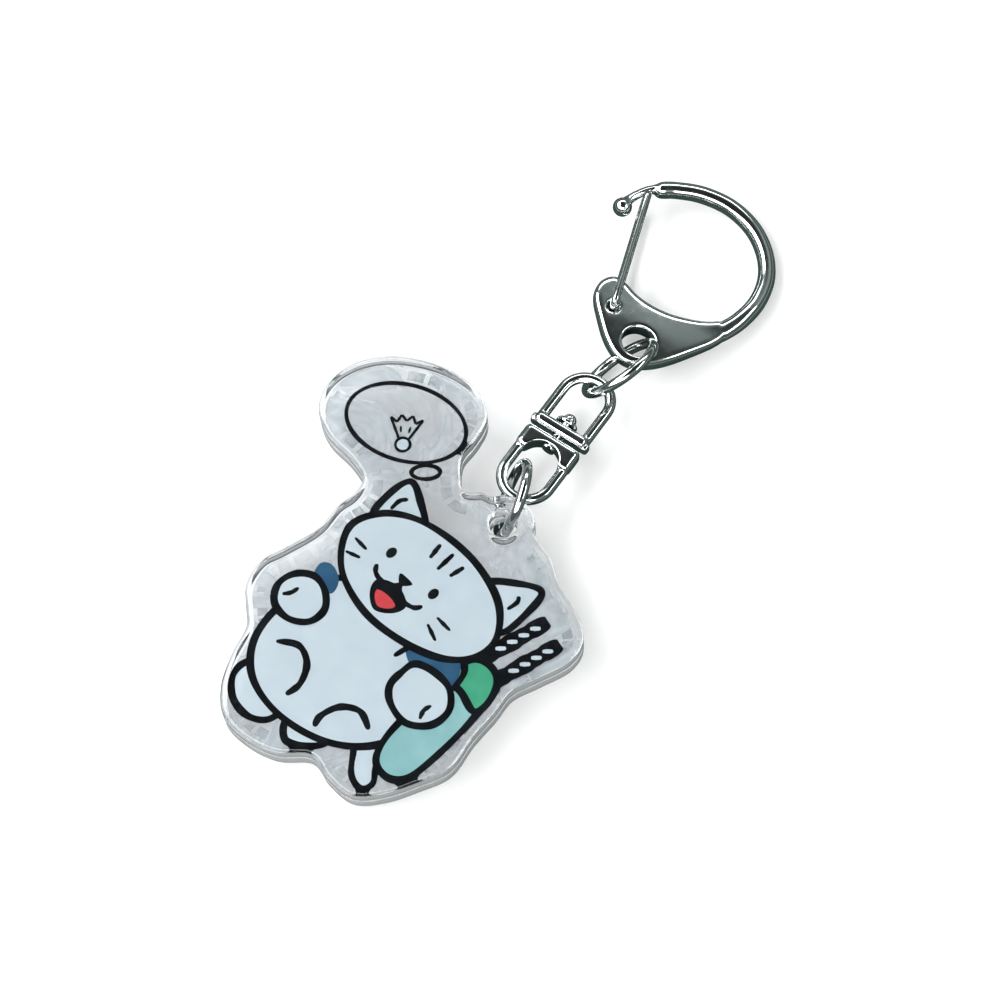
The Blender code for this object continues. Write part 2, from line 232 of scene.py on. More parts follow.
def acrylic(name, tint):
    """Clear cast acrylic: a faint wave in its faces, and a fine hatch and frost where the laser cut it."""
    look, shader = new_look(name)
    nodes = look.node_tree.nodes
    links = look.node_tree.links
    upright = nodes.new("ShaderNodeSeparateXYZ")
    links.new(nodes.new("ShaderNodeNewGeometry").outputs["True Normal"], upright.inputs["Vector"])
    flatness = math_node(look, "ABSOLUTE", upright.outputs["Z"]).outputs["Value"]
    cut_side = ranged(look, flatness, 0.5, 0.1, 0.0, 1.0)
    wave = bumped(look, noise(look, 150.0, 1.0), 0.35, 0.00012)
    saw = noise(look, 1400.0, 2.0, stretch=(1.0, 1.0, 0.06))
    hatch = math_node(look, "MULTIPLY", saw, cut_side).outputs["Value"]
    links.new(bumped(look, hatch, 0.25, 0.00006, wave), shader.inputs["Normal"])
    links.new(ranged(look, cut_side, 0.0, 1.0, 0.0, 0.22), shader.inputs["Roughness"])
    links.new(ranged(look, cut_side, 0.0, 1.0, 1.0, 0.6), shader.inputs["Transmission Weight"])
    shader.inputs["Base Color"].default_value = (*tint, 1.0)
    shader.inputs["IOR"].default_value = 1.49
    return look


front_profile = lip(0.15, 0.15, -SHEET, -1, 3) + lip(0.65, 0.5, 0.0, 1)
front_points, front_faces = plate_mesh(CHARM_OUTLINE, [TAB_HOLE], front_profile)
front_look = acrylic("front_acrylic", (0.965, 0.975, 0.985))
front_sheet = charm_piece("front_sheet", front_points, front_faces, front_look)
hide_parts("front_acrylic_sheet")

# ---------------------------------------------------------------------------------------------------
# Back sheet: the lower acrylic sheet, cut in the same pass. Its lips are only lightly broken, so the
# joint between the sheets shows as fine dark lines round the charm's edge.
# ---------------------------------------------------------------------------------------------------
FILM_GAP = 0.3
BACK_TOP = -SHEET - FILM_GAP
back_profile = lip(0.3, 0.3, BACK_TOP - SHEET, -1, 4) + lip(0.15, 0.15, BACK_TOP, 1, 3)
back_points, back_faces = plate_mesh(CHARM_OUTLINE, [TAB_HOLE], back_profile)
back_look = acrylic("back_acrylic", (0.95, 0.965, 0.98))
back_sheet = charm_piece("back_sheet", back_points, back_faces, back_look)
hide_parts("back_acrylic_sheet")

# ---------------------------------------------------------------------------------------------------
# Print film: a thin clear polyester film between the sheets. It carries the picture, and outside the
# picture it shows as soft milky streaks in the clear plastic.
# ---------------------------------------------------------------------------------------------------
film_look, film_shader = new_look("clear_film")
haze = noise(film_look, 105.0, 3.0, Distortion=1.5)
film_look.node_tree.links.new(ranged(film_look, haze, 0.40, 0.68, 0.02, 0.55), film_shader.inputs["Alpha"])
film_shader.inputs["Base Color"].default_value = (0.78, 0.83, 0.87, 1.0)
film_shader.inputs["Roughness"].default_value = 0.18
film_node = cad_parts["printed_film"]
film_node.data.materials.clear()
film_node.data.materials.append(film_look)

# ---------------------------------------------------------------------------------------------------
# Bond: the clear glue that joins the sheets is dotted round the border. Pressing the sheets together
# Painted shade: a row of flat grey-green cells between the sheets, between the picture and the cut edge,
# painted in to stand for the blotchy refraction shade and the lip's fine lines in the clear border.
shade_look, shade_shader = new_look("painted_shade_material")
shade_cover = ranged(shade_look, noise(shade_look, 130.0, 3.0, Roughness=0.7), 0.42, 0.62, 0.06, 0.55)
shade_look.node_tree.links.new(shade_cover, shade_shader.inputs["Alpha"])
shade_shader.inputs["Base Color"].default_value = (0.40, 0.47, 0.48, 1.0)
shade_shader.inputs["Roughness"].default_value = 0.35

SHADE_TOP = -SHEET - 0.22
SHADE_THICK = 0.03
CELL_FROM_EDGE = 1.15
CELL_TO_EDGE = 2.35
CELL_EVERY = 4
TAB_CLEAR = 4.6
shade_points = []
shade_faces = []


def add_shade_cell(outer, inner):
    """One flat cell of painted shade between two short runs of points."""
    top = len(shade_points)
    count = len(outer)
    for height in (SHADE_TOP, SHADE_TOP - SHADE_THICK):
        shade_points.extend((x, y, height) for x, y in outer)
        shade_points.extend((x, y, height) for x, y in inner)
    low = top + 2 * count
    ring = list(range(count)) + list(range(2 * count - 1, count - 1, -1))
    for i, corner in enumerate(ring):
        beyond = ring[(i + 1) % len(ring)]
        shade_faces.append((top + corner, low + corner, low + beyond, top + beyond))
    for i in range(count - 1):
        shade_faces.append((top + i, top + i + 1, top + count + i + 1, top + count + i))
        shade_faces.append((low + i, low + count + i, low + count + i + 1, low + i + 1))


# the cells of painted shade lie in a band 1.15 to 2.35 mm inside the cut edge, clear of the tab
shade_outer = inset(CHARM_OUTLINE, CELL_FROM_EDGE)
shade_inner = inset(CHARM_OUTLINE, CELL_TO_EDGE)
loop_count = len(CHARM_OUTLINE)
for start in range(0, loop_count - CELL_EVERY + 1, CELL_EVERY):
    outer = [tuple(point) for point in shade_outer[start:start + CELL_EVERY]]
    inner = [tuple(point) for point in shade_inner[start:start + CELL_EVERY]]
    middle = (Vector(outer[1]) + Vector(inner[2])) / 2
    if middle.length > TAB_CLEAR:
        add_shade_cell(outer, inner)
charm_piece("painted_shade_cells", shade_points, shade_faces, shade_look)

# ---------------------------------------------------------------------------------------------------
# Picture: screen-printed inks on the film, a plain kitten with a bag and a thought bubble. White goes
# down first, colours and black line over it, each ink a few microns thick and drawn one over the other.
# ---------------------------------------------------------------------------------------------------
INK_FLOOR = -SHEET - 0.095
INK_STEP = 0.006
INK_THICK = 0.004
inks = {"white": ([], []), "black": ([], []), "red": ([], []), "navy": ([], []), "teal": ([], []),
        "green": ([], [])}


def area(colour, level, outline):
    """A patch of ink inside a closed outline, on the level it is printed at."""
    points, faces = inks[colour]
    height = INK_FLOOR + level * INK_STEP
    start = len(points)
    count = len(outline)
    points += [(p[0], p[1], height) for p in outline]
    points += [(p[0], p[1], height + INK_THICK) for p in outline]
    ring = [Vector((p[0], p[1], 0)) for p in outline]
    turning = sum(ring[i - 1].x * ring[i].y - ring[i].x * ring[i - 1].y for i in range(count)) > 0
    for i in range(count):
        j = (i + 1) % count
        wall = (start + i, start + j, start + count + j, start + count + i)
        faces.append(wall if turning else wall[::-1])
    for tri in tessellate_polygon([ring]):
        a, b, c = tri
        if ((ring[b] - ring[a]).cross(ring[c] - ring[a])).z < 0:
            b, c = c, b
        faces.append((start + count + a, start + count + b, start + count + c))
        faces.append((start + a, start + c, start + b))


def brush(colour, level, path, width, closed=False, taper=0.35, seed=0.0):
    """A brush line along a path, a little uneven in width, with rounded thinner ends."""
    line = smooth_line(path, 8, closed)
    count = len(line)
    left = []
    right = []
    for i, point in enumerate(line):
        ahead = line[(i + 1) % count] if closed else line[min(i + 1, count - 1)]
        behind = line[i - 1] if closed or i else line[0]
        along = (ahead - behind).normalized()
        across = Vector((-along.y, along.x))
        run = i / (count - 1)
        swell = 1 + 0.09 * math.sin(17 * run + seed) + 0.05 * math.sin(43 * run + 2 * seed)
        if not closed:
            end = min(run, 1 - run) * count / 5
            swell *= taper + (1 - taper) * math.sqrt(min(end, 1.0))
        left.append(point + across * width / 2 * swell)
        right.append(point - across * width / 2 * swell)
    points, faces = inks[colour]
    height = INK_FLOOR + level * INK_STEP
    start = len(points)
    for side, lift in ((left, 0), (right, 0), (right, INK_THICK), (left, INK_THICK)):
        points += [(p.x, p.y, height + lift) for p in side]
    spans = count if closed else count - 1
    for i in range(spans):
        j = (i + 1) % count
        for side in range(4):
            a = start + side * count
            b = start + (side + 1) % 4 * count
            faces.append((a + i, a + j, b + j, b + i))
    if not closed:
        faces.append(tuple(start + side * count for side in (0, 1, 2, 3)))
        faces.append(tuple(start + side * count + count - 1 for side in (3, 2, 1, 0)))


def blob(centre, half_long, half_short, turn=0.0, steps=28):
    spin = Matrix.Rotation(math.radians(turn), 2)
    return [Vector(centre) + spin @ Vector((half_long * math.cos(2 * math.pi * i / steps),
                                            half_short * math.sin(2 * math.pi * i / steps)))
            for i in range(steps)]


def shape(level, path, line=0.85, fill="white", seed=0.0):
    """A filled shape with a black outline over it."""
    area(fill, level, smooth_line(path, 8, True))
    brush("black", level + 1, path, line, closed=True, seed=seed)


# tail, feet and body
shape(0, [(5.8, -28.6), (7.2, -30.8), (8.8, -32.6), (10.6, -33.0), (11.2, -31.7), (10.2, -30.2),
          (9.0, -28.0)], line=0.75, seed=1.0)
shape(0, [(-8.9, -31.2), (-9.2, -33.6), (-7.2, -35.6), (-4.4, -35.9), (-2.4, -34.4), (-2.6, -31.6),
          (-5.6, -29.6)], seed=2.0)
shape(0, [(-0.8, -31.2), (-1.0, -33.4), (0.6, -34.9), (2.6, -33.9), (4.0, -32.2), (3.4, -30.2),
          (1.4, -29.4)], seed=3.0)
shape(2, [(-8.2, -16.6), (-10.4, -20.4), (-11.4, -25.0), (-10.4, -29.4), (-7.4, -32.4), (-2.6, -33.4),
          (2.8, -32.4), (7.0, -29.8), (9.4, -26.0), (9.6, -21.6), (7.6, -17.4), (3.4, -15.4),
          (-3.0, -15.2)], seed=4.0)
brush("black", 4, [(-8.6, -27.6), (-6.4, -26.2), (-4.2, -27.0), (-3.0, -29.2), (-3.2, -31.2)], 0.8, seed=5.0)
brush("black", 4, [(6.4, -27.6), (4.2, -26.8), (2.2, -28.0), (1.4, -30.2), (1.8, -31.6)], 0.8, seed=6.0)
# strap over the shoulder, rods, bag and its strap
area("navy", 4, smooth_line([(-11.2, -19.4), (-11.8, -17.6), (-10.6, -16.8), (-8.8, -17.6), (-8.2, -19.2),
                             (-9.6, -20.0)], 8, True))
for low, high in (((9.5, -13.2), (11.7, -4.6)), ((12.4, -14.0), (14.6, -5.6))):
    middle = (Vector(low) + Vector(high)) / 2
    brush("black", 4, [low, middle, high], 2.0, taper=0.75)
    along = Vector(high) - Vector(low)
    for share in (0.30, 0.47, 0.64, 0.81):
        spot = Vector(low) + along * share
        reach = Vector((0.42, 0.42))
        brush("white", 5, [spot - reach, spot, spot + reach], 0.5)
shape(5, [(8.4, -17.2), (8.2, -22.0), (8.4, -26.8), (9.6, -29.6), (12.0, -30.0), (13.6, -28.2),
          (14.0, -23.4), (13.8, -18.6), (13.2, -16.6), (10.6, -15.8)], fill="teal", seed=7.0)
shape(7, [(8.3, -16.0), (8.8, -13.8), (10.8, -12.9), (12.8, -13.8), (13.7, -16.4), (13.2, -18.0),
          (10.8, -17.4), (9.0, -17.2)], fill="green", seed=8.0)
area("navy", 9, smooth_line([(2.6, -18.0), (4.2, -15.6), (6.6, -14.6), (8.6, -15.4), (9.4, -17.6),
                             (7.4, -18.2), (5.0, -19.2)], 8, True))
brush("black", 10, [(2.2, -19.6), (3.0, -16.8), (4.8, -14.9), (7.2, -14.2), (9.2, -15.4), (9.8, -18.0)],
      0.8, seed=9.0)
# paws
shape(11, [(-13.0, -20.6), (-13.4, -22.8), (-12.0, -24.6), (-9.6, -24.8), (-7.6, -23.4), (-7.4, -21.2),
           (-9.0, -19.6), (-11.2, -19.2)], seed=10.0)
shape(11, [(4.2, -20.4), (4.6, -18.6), (6.8, -17.8), (9.4, -18.0), (11.2, -19.8), (11.0, -22.4),
           (8.8, -24.2), (6.0, -23.8), (4.4, -22.4)], seed=11.0)
brush("black", 13, [(-12.2, -23.2), (-11.6, -22.4), (-11.4, -21.4)], 0.55, seed=1.0)
brush("black", 13, [(9.6, -22.8), (9.2, -21.8), (9.4, -20.8)], 0.55, seed=2.0)
# ears and head
shape(7, [(-11.6, -9.6), (-12.3, -6.2), (-11.6, -3.4), (-9.0, -4.4), (-6.2, -6.6), (-8.0, -9.6)], seed=12.0)
shape(7, [(3.4, -6.4), (6.0, -3.8), (8.7, -2.6), (9.3, -5.6), (8.8, -9.4), (5.4, -9.6)], seed=13.0)
shape(11, [(-12.6, -12.4), (-11.4, -8.8), (-8.2, -6.4), (-3.6, -5.3), (1.4, -5.4), (6.2, -7.0),
           (9.0, -10.2), (8.8, -13.4), (6.2, -16.1), (1.4, -17.8), (-4.2, -18.2), (-9.6, -16.4)], seed=14.0)
brush("black", 13, [(-10.8, -7.4), (-10.8, -6.0), (-10.2, -5.2)], 0.55)
brush("black", 13, [(7.4, -6.8), (7.6, -5.4), (7.2, -4.8)], 0.55)
for low, high in (((-3.3, -8.5), (-3.6, -6.5)), ((-1.7, -8.9), (-1.7, -6.3)), ((-0.1, -8.5), (0.3, -6.6))):
    brush("black", 13, [low, high], 0.6, taper=0.5)
# face
for eye in ((-6.9, -11.1), (0.1, -11.3)):
    area("black", 13, blob(eye, 0.55, 0.72))
area("black", 13, smooth_line([(-4.4, -12.2), (-3.4, -12.0), (-2.4, -12.2), (-3.4, -13.2)], 8, True))
area("black", 13, smooth_line([(-5.7, -14.4), (-3.4, -13.4), (-1.1, -14.4), (-1.5, -16.1), (-3.4, -17.3),
                               (-5.3, -16.1)], 8, True))
area("red", 14, smooth_line([(-4.8, -15.3), (-3.4, -15.0), (-2.0, -15.3), (-2.3, -16.1), (-3.4, -16.7),
                             (-4.5, -16.1)], 8, True))
brush("black", 12, [(-7.1, -13.2), (-6.5, -14.0), (-5.2, -14.3), (-4.0, -13.9), (-3.4, -13.0)], 0.6)
brush("black", 12, [(-3.4, -13.0), (-2.8, -13.9), (-1.6, -14.3), (-0.3, -14.0), (0.3, -13.2)], 0.6)
for whisker in (((-11.2, -12.7), (-9.2, -12.8)), ((-10.8, -14.6), (-9.0, -14.0)),
                ((2.4, -13.0), (4.6, -13.1)), ((2.2, -14.3), (4.3, -15.1))):
    brush("black", 13, [whisker[0], whisker[1]], 0.5)
# thought bubble and its shuttlecock
brush("black", 3, blob((-17.3, 1.4), 7.2, 4.75, 25, 20), 0.5, closed=True, seed=3.0)
brush("black", 3, blob((-11.2, -1.4), 1.65, 0.85, 45, 12), 0.5, closed=True)
cork = Vector((-15.6, -0.8))
up = Vector((-2.1, 2.8)).normalized()
over = Vector((up.y, -up.x))
area("white", 3, blob(cork, 0.85, 0.85))
brush("black", 4, blob(cork, 0.85, 0.85, 0, 12), 0.34, closed=True)
skirt = [(0.75, -0.6), (3.3, -1.9), (2.75, -1.1), (3.7, -0.65), (3.0, 0.0), (3.7, 0.65), (2.75, 1.1),
         (3.3, 1.9), (0.75, 0.6)]
corners = [cork + up * rise + over * reach for rise, reach in skirt]
for layer, (start, end) in enumerate(zip(corners, corners[1:])):
    brush("black", 5 + layer % 2, [start, (start + end) / 2, end], 0.34, taper=0.8)
for reach in (-0.45, 0.45):
    brush("black", 4, [cork + up * 1.5 + over * reach, cork + up * 2.3 + over * reach * 1.3], 0.3)


def coloured(look, value, low, high, dark, light):
    """A value from low to high turned into a colour from dark to light."""
    made = look.node_tree.nodes.new("ShaderNodeValToRGB")
    for stop, position, colour in zip(made.color_ramp.elements, (low, high), (dark, light)):
        stop.position = position
        stop.color = (*colour, 1.0)
    look.node_tree.links.new(value, made.inputs["Fac"])
    return made.outputs["Color"]


def ink_look(name, dark, light):
    """Screen-print ink: even colour with the slight mottle of a pigment layer under clear plastic."""
    look, shader = new_look(name)
    mottle = coloured(look, noise(look, 420.0, 4.0), 0.3, 0.7, dark, light)
    look.node_tree.links.new(mottle, shader.inputs["Base Color"])
    shader.inputs["Roughness"].default_value = 0.6
    shader.inputs["Specular IOR Level"].default_value = 0.08
    return look


INK_COLOURS = {
    "white": ((0.68, 0.775, 0.835), (0.74, 0.825, 0.88)),
    "black": ((0.002, 0.003, 0.005), (0.006, 0.008, 0.011)),
    "red": ((0.70, 0.06, 0.07), (0.86, 0.10, 0.11)),
    "navy": ((0.03, 0.10, 0.20), (0.045, 0.14, 0.26)),
    "teal": ((0.30, 0.58, 0.58), (0.38, 0.66, 0.66)),
    "green": ((0.07, 0.42, 0.24), (0.10, 0.50, 0.30)),
}
for colour, (points, faces) in inks.items():
    layer = "ink_" + colour
    charm_piece(layer, points, faces, ink_look(layer, *INK_COLOURS[colour]))

# ---------------------------------------------------------------------------------------------------
# Tab ring: a round steel wire ring, nickel plated, bent shut through the tab's hole. Its ends meet at a
# fine split that lies underneath.
# ---------------------------------------------------------------------------------------------------


def plated(name, shade, ripple):
    """Bright nickel plating: mirror-like, with faint ripples and a little uneven polish."""
    look, shader = new_look(name)
    links = look.node_tree.links
    smear = noise(look, 900.0, 5.0)
    links.new(ranged(look, smear, 0.35, 0.75, 0.054, 0.162), shader.inputs["Roughness"])
    links.new(bumped(look, noise(look, 450.0, 1.0), ripple, 0.0001), shader.inputs["Normal"])
    shader.inputs["Metallic"].default_value = 1.0
    shader.inputs["Base Color"].default_value = (*shade, 1.0)
    return look


def sweep_tree():
    """Geometry Nodes that give a line of points a round section, closed at its ends."""
    tree = bpy.data.node_groups.new("wire_sweep", "GeometryNodeTree")
    line = tree.interface.new_socket("Line", in_out="INPUT", socket_type="NodeSocketGeometry")
    radius = tree.interface.new_socket("Radius", in_out="INPUT", socket_type="NodeSocketFloat")
    sides = tree.interface.new_socket("Sides", in_out="INPUT", socket_type="NodeSocketInt")
    coat = tree.interface.new_socket("Plating", in_out="INPUT", socket_type="NodeSocketMaterial")
    tree.interface.new_socket("Wire", in_out="OUTPUT", socket_type="NodeSocketGeometry")
    nodes = tree.nodes
    links = tree.links
    start = nodes.new("NodeGroupInput")
    end = nodes.new("NodeGroupOutput")
    path = nodes.new("GeometryNodeMeshToCurve")
    links.new(start.outputs[line.name], path.inputs["Mesh"])
    thickness = nodes.new("GeometryNodeInputNamedAttribute")
    thickness.data_type = "FLOAT"
    thickness.inputs["Name"].default_value = "thickness"
    section = nodes.new("GeometryNodeCurvePrimitiveCircle")
    links.new(start.outputs[radius.name], section.inputs["Radius"])
    links.new(start.outputs[sides.name], section.inputs["Resolution"])
    tube = nodes.new("GeometryNodeCurveToMesh")
    tube.inputs["Fill Caps"].default_value = True
    links.new(path.outputs["Curve"], tube.inputs["Curve"])
    links.new(section.outputs["Curve"], tube.inputs["Profile Curve"])
    links.new(thickness.outputs["Attribute"], tube.inputs["Scale"])
    real = nodes.new("GeometryNodeRealizeInstances")
    links.new(tube.outputs["Mesh"], real.inputs["Geometry"])
    coating = nodes.new("GeometryNodeSetMaterial")
    links.new(real.outputs["Geometry"], coating.inputs["Geometry"])
    links.new(start.outputs[coat.name], coating.inputs["Material"])
    links.new(coating.outputs["Geometry"], end.inputs["Wire"])
    return tree, {"radius": radius.identifier, "sides": sides.identifier, "coat": coat.identifier}


WIRE_TREE, WIRE_SOCKETS = sweep_tree()


def swept(name, path, radius, look, thickness=None, sides=24):
    """A wire swept along a path, in the path's own millimetres."""
    mesh = bpy.data.meshes.new(name)
    mesh.from_pydata([tuple(point) for point in path], [(i, i + 1) for i in range(len(path) - 1)], [])
    scale = mesh.attributes.new("thickness", "FLOAT", "POINT")
    scale.data.foreach_set("value", thickness or [1.0] * len(path))
    guide = bpy.data.objects.new(name, mesh)
    bpy.context.scene.collection.objects.link(guide)
    nodes = guide.modifiers.new("sweep", "NODES")
    nodes.node_group = WIRE_TREE
    nodes[WIRE_SOCKETS["radius"]] = radius
    nodes[WIRE_SOCKETS["sides"]] = sides
    nodes[WIRE_SOCKETS["coat"]] = look
    bpy.context.view_layer.update()
    solid = bpy.data.meshes.new_from_object(guide.evaluated_get(bpy.context.evaluated_depsgraph_get()))
    bpy.data.objects.remove(guide, do_unlink=True)
    work = bmesh.new()
    work.from_mesh(solid)
    bmesh.ops.recalc_face_normals(work, faces=work.faces)
    work.to_mesh(solid)
    work.free()
    return solid


def ring_path(radius, split_at, split=0.25, steps=168):
    """A circle from one side of the split to the other."""
    half = split / radius / 2
    turns = [math.radians(split_at) + half + (2 * math.pi - 2 * half) * i / steps for i in range(steps + 1)]
    return [(radius * math.cos(turn), radius * math.sin(turn), 0.0) for turn in turns]


def filed_ends(count, reach=2, tip=0.82):
    """Wire thickness along a path whose cut ends are filed a little round."""
    return [tip + (1 - tip) * min(1.0, min(i, count - 1 - i) / reach) for i in range(count)]


TAB_RING = place(0.49, -3.82, 4.84, 0, 108.2, -13.0)
TAB_RING_RADIUS = 4.33
TAB_RING_WIRE = 0.60
tab_path = ring_path(TAB_RING_RADIUS, 0.0)
tab_look = plated("tab_ring_nickel", (0.80, 0.82, 0.83), 0.06)
tab_mesh = swept("tab_ring", tab_path, TAB_RING_WIRE, tab_look, filed_ends(len(tab_path)))
tab_ring = settle("tab_ring", tab_mesh, TAB_RING, tab_look, "tab_ring")
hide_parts("tab_jump_ring")

# ---------------------------------------------------------------------------------------------------
# Swivel, lower link: a small die-cast zinc loop with a broad crossbar, arched inside to clear the ring
# and bored for the rivet. The plating has filled its corners soft.
# ---------------------------------------------------------------------------------------------------
SWIVEL = place(0.12, -3.44, 3.75, -0.4, 0, -34.5)
LOOP_REACH = 3.0
LOOP_WIRE = 0.66
CAST_GRAIN = 0.085
CAST_SOFTEN = 12
RIVET_MIDDLE = (0, 9.6, 0)
RIVET_BORE = 0.7


def loop_path(end, far, steps=40):
    """A U of wire: its round end touches y = end, its legs run to y = far."""
    way = 1 if far > end else -1
    middle = end + way * (LOOP_WIRE + LOOP_REACH)
    path = [(-LOOP_REACH, far, 0.0)]
    for i in range(steps + 1):
        turn = math.pi * i / steps
        path.append((-LOOP_REACH * math.cos(turn), middle - way * LOOP_REACH * math.sin(turn), 0.0))
    path.append((LOOP_REACH, far, 0.0))
    return path


def block(low, high, rounding, segments):
    """A box with rounded edges, as a bare mesh in millimetres."""
    work = bmesh.new()
    bmesh.ops.create_cube(work, size=1.0)
    size = Vector(high) - Vector(low)
    bmesh.ops.scale(work, vec=size, verts=work.verts)
    bmesh.ops.translate(work, vec=(Vector(high) + Vector(low)) / 2, verts=work.verts)
    bmesh.ops.bevel(work, geom=work.edges[:], offset=rounding, segments=segments, profile=0.5,
                    affect="EDGES")
    mesh = bpy.data.meshes.new("block")
    work.to_mesh(mesh)
    work.free()
    return mesh


def drum(centre, radius, half_length, axis, steps=48):
    """A plain cylinder for cutting, as a bare mesh in millimetres."""
    work = bmesh.new()
    turn = Matrix.Rotation(math.radians(90), 4, "X") if axis == "Y" else Matrix.Identity(4)
    bmesh.ops.create_cone(work, cap_ends=True, segments=steps, radius1=radius, radius2=radius,
                          depth=2 * half_length, matrix=turn)
    bmesh.ops.translate(work, verts=work.verts, vec=centre)
    mesh = bpy.data.meshes.new("drum")
    work.to_mesh(mesh)
    work.free()
    return mesh


def cast(name, solids, cuts, grain, soften):
    """A casting: the solids grown into one skin, the cuts taken out, and every corner softened."""
    body = bpy.data.objects.new(name, solids[0])
    bpy.context.scene.collection.objects.link(body)
    helpers = []
    for operation, meshes in (("UNION", solids[1:]), ("DIFFERENCE", cuts)):
        for mesh in meshes:
            tool = bpy.data.objects.new("tool", mesh)
            bpy.context.scene.collection.objects.link(tool)
            step = body.modifiers.new(operation.lower(), "BOOLEAN")
            step.operation = operation
            step.solver = "EXACT"
            step.object = tool
            helpers.append(tool)
    skin = body.modifiers.new("skin", "REMESH")
    skin.mode = "VOXEL"
    skin.voxel_size = grain
    soft = body.modifiers.new("soften", "SMOOTH")
    soft.factor = 0.5
    soft.iterations = soften
    bpy.context.view_layer.update()
    mesh = bpy.data.meshes.new_from_object(body.evaluated_get(bpy.context.evaluated_depsgraph_get()))
    for thing in [body] + helpers:
        bpy.data.objects.remove(thing, do_unlink=True)
    return mesh


swivel_look = plated("swivel_nickel", (0.79, 0.81, 0.82), 0.10)
lower_loop = swept("lower_loop", loop_path(0.02, 8.4), LOOP_WIRE, swivel_look)
lower_bar = block((-3.7, 6.2, -1.08), (3.7, 9.48, 1.08), 0.8, 5)
arch = drum((0, 5.9, 0), 2.34, 3.0, "Z")
lower_mesh = cast("lower_link", [lower_loop, lower_bar], [arch, drum(RIVET_MIDDLE, RIVET_BORE, 3.0, "Y")],
                  CAST_GRAIN, CAST_SOFTEN)
lower_link = settle("lower_link", lower_mesh, SWIVEL, swivel_look, "lower_link", sharp=80)
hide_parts("swivel_lower_link")

# ---------------------------------------------------------------------------------------------------
# Swivel, upper link: the matching casting with a flat crossbar and small corner flanges. It turns on
# the rivet against the lower link.
# ---------------------------------------------------------------------------------------------------
upper_loop = swept("upper_loop", loop_path(19.23, 10.6), LOOP_WIRE, swivel_look)
upper_bar = block((-3.5, 9.82, -1.12), (3.5, 11.35, 1.12), 0.6, 5)
flange = block((-3.92, 9.82, -0.75), (3.92, 10.9, 0.75), 0.3, 3)
upper_mesh = cast("upper_link", [upper_loop, upper_bar, flange], [drum(RIVET_MIDDLE, RIVET_BORE, 3.0, "Y")],
                  CAST_GRAIN, CAST_SOFTEN)
upper_link = settle("upper_link", upper_mesh, SWIVEL, swivel_look, "upper_link", sharp=80)
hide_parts("swivel_upper_link")

# ---------------------------------------------------------------------------------------------------
# Swivel rivet: a turned steel pin, headed over inside both links so that one turns against the other.
# It is fixed in the lower link.
# ---------------------------------------------------------------------------------------------------


def turned(name, profile, steps=48):
    """A turned part about Y: the profile lists (radius, y), from one end on the axis to the other."""
    work = bmesh.new()
    rings = []
    for radius, height in profile:
        if radius < 1e-6:
            rings.append([work.verts.new((0, height, 0))])
        else:
            rings.append([work.verts.new((radius * math.cos(2 * math.pi * i / steps), height,
                                          radius * math.sin(2 * math.pi * i / steps)))
                          for i in range(steps)])
    for low, high in zip(rings, rings[1:]):
        for i in range(steps):
            j = (i + 1) % steps
            corners = [low[i % len(low)], low[j % len(low)], high[j % len(high)], high[i % len(high)]]
            work.faces.new(list(dict.fromkeys(corners)))
    bmesh.ops.recalc_face_normals(work, faces=work.faces)
    mesh = bpy.data.meshes.new(name)
    work.to_mesh(mesh)
    work.free()
    return mesh


def dome(radius, low, high, steps=8):
    """(radius, height) points of a dome, from its top to its rim."""
    angles = [math.radians(90 - 90 * i / steps) for i in range(steps + 1)]
    return [(radius * math.cos(angle), low + (high - low) * math.sin(angle)) for angle in angles]


rivet_profile = dome(0.84, 12.3, 13.15) + [(0.84, 12.25), (1.0, 12.2)]
rivet_profile += [(1.2, 12.1), (1.34, 11.95), (1.38, 11.8), (1.38, 11.6), (1.33, 11.52), (0.6, 11.52),
                  (0.6, 8.02), (0.86, 8.0), (0.88, 7.9), (0.84, 7.75), (0.6, 7.67), (0.0, 7.65)]
rivet_look = plated("rivet_nickel", (0.78, 0.80, 0.81), 0.05)
rivet_mesh = turned("rivet", rivet_profile)
rivet = settle("rivet", rivet_mesh, SWIVEL, rivet_look, "lower_link")
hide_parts("swivel_rivet")

# ---------------------------------------------------------------------------------------------------
# Clasp ring: a second, slightly larger wire ring that joins the swivel to the clasp's eye. Its split
# hides under the clasp's plate.
# ---------------------------------------------------------------------------------------------------
CLASP_RING = place(13.04, 13.14, 4.64, 0, 55.8, 134.2)
CLASP_RING_RADIUS = 4.71
CLASP_RING_WIRE = 0.62
CLASP_RING_SPLIT = -38.0
clasp_path = ring_path(CLASP_RING_RADIUS, CLASP_RING_SPLIT)
clasp_ring_look = plated("clasp_ring_nickel", (0.81, 0.82, 0.82), 0.06)
clasp_ring_mesh = swept("upper_ring", clasp_path, CLASP_RING_WIRE, clasp_ring_look,
                        filed_ends(len(clasp_path)))
clasp_ring = settle("upper_ring", clasp_ring_mesh, CLASP_RING, clasp_ring_look, "upper_ring")
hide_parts("clasp_ring")

# ---------------------------------------------------------------------------------------------------
# Clasp: one die-cast zinc hook. A flat plate with a rolled rim holds the eye and the gate's pivot, then
# draws out into a round arm that ends in a thin neck and a ball.
# ---------------------------------------------------------------------------------------------------
CLASP = place(14.88, 17.38, 3.25, -4.1, 5.84, -30.0)
PLATE_OUTLINE = smooth_line([
    (8.9, 6.3), (8.6, 7.15), (8.0, 7.75), (7.3, 7.85), (6.6, 7.35), (5.6, 6.75), (4.1, 6.1), (1.8, 5.4),
    (-0.6, 5.2), (-2.7, 5.5), (-4.7, 6.2), (-6.2, 6.2), (-7.2, 5.0), (-7.3, 3.4), (-6.7, 2.0), (-5.2, 0.2),
    (-3.5, -1.6), (-1.7, -2.9), (0.2, -3.4), (1.9, -3.0), (3.6, -1.8), (5.2, 0.0), (7.0, 2.6), (8.3, 4.7),
], 6, True)
PLATE_HALF = 1.18
